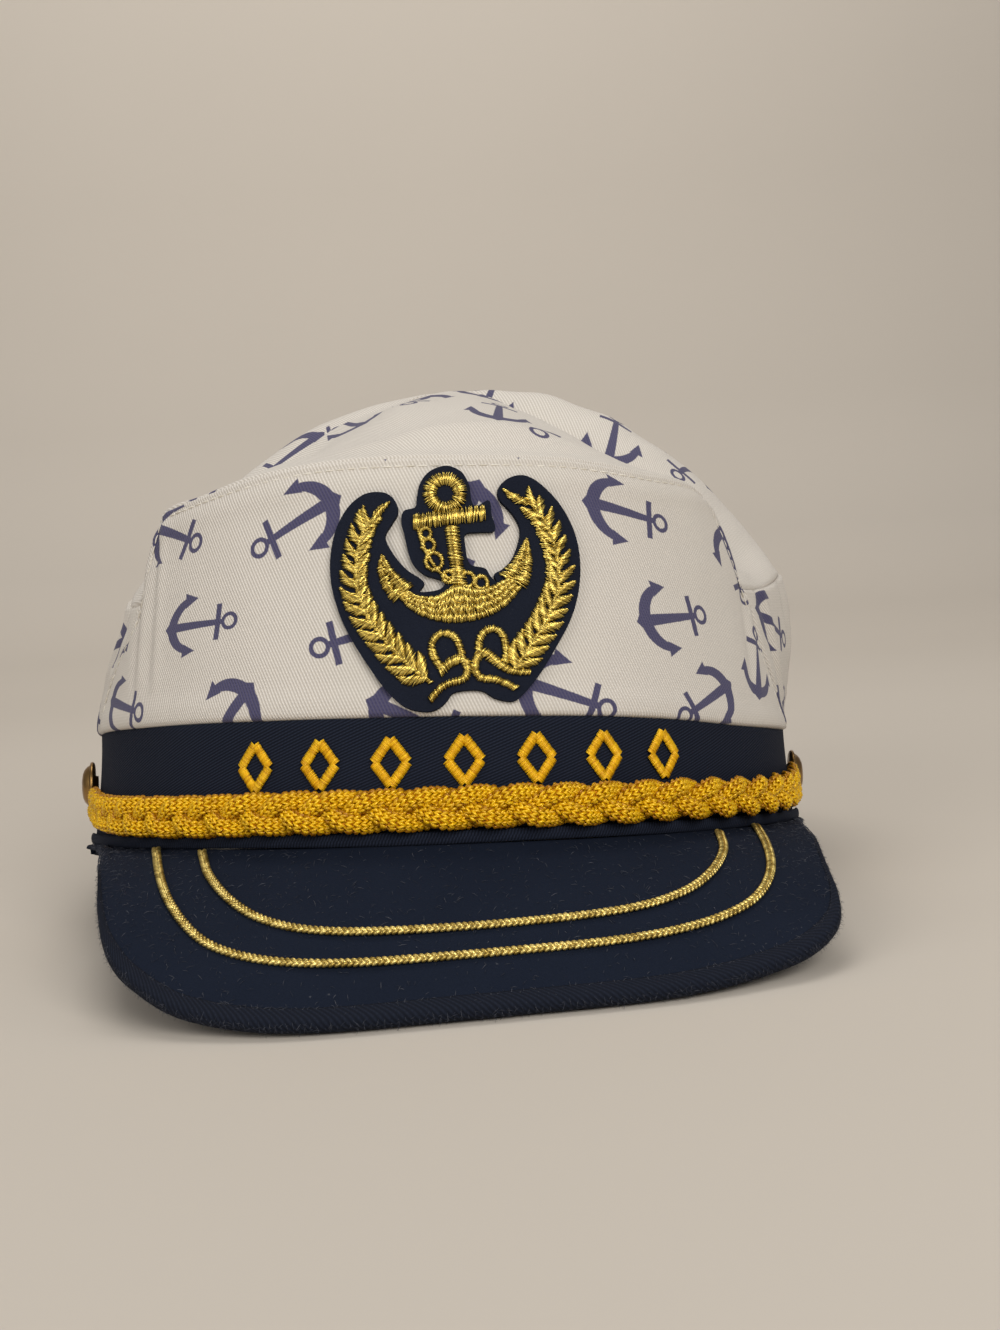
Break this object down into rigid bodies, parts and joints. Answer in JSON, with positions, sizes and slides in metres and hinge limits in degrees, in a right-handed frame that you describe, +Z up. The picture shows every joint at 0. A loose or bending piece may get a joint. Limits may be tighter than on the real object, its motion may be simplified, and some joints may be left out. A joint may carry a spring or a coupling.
{
  "type": "captain hat",
  "caption": "Soft captain's cap: white twill crown over a navy band, yellow plaited braid with brass buttons, gold-embroidered anchor badge and a navy visor with gold cords.",
  "frame": {"origin": "middle of the bounding box's bottom, on the surface the cap lies on", "axes": "+Z up from the surface, -Y towards the front of the visor, +X to the right of someone who looks at the front"},
  "size_m": [0.1866, 0.2364, 0.1284],
  "materials": {
    "white_twill": "white cotton twill printed with navy anchors",
    "navy_twill": "navy cotton twill, matte",
    "navy_felt": "brushed navy felt with fine lint",
    "gold_thread": "metallic gold embroidery thread and chain cord",
    "yellow_cord": "glossy knitted yellow cord",
    "yellow_thread": "yellow satin-stitch embroidery",
    "brass": "polished domed brass"
  },
  "bodies": {
    "root": {"front_panel": "white_twill", "back_panel": "white_twill", "top_panel": "white_twill", "band": "navy_twill", "visor_seam_strip": "navy_twill", "visor": "navy_felt", "visor_binding": "navy_twill", "visor_cord_outer": "gold_thread", "visor_cord_inner": "gold_thread", "braid_strand_1": "yellow_cord", "braid_strand_2": "yellow_cord", "braid_strand_3": "yellow_cord", "button_right": "brass", "button_left": "brass", "patch_backing": "navy_felt", "patch_anchor": "gold_thread", "patch_wreath_left": "gold_thread", "patch_wreath_right": "gold_thread", "patch_bow": "gold_thread", "band_motif_1": "yellow_thread", "band_motif_2": "yellow_thread", "band_motif_3": "yellow_thread", "band_motif_4": "yellow_thread", "band_motif_5": "yellow_thread", "band_motif_6": "yellow_thread", "band_motif_7": "yellow_thread"}
  },
  "joints": []
}
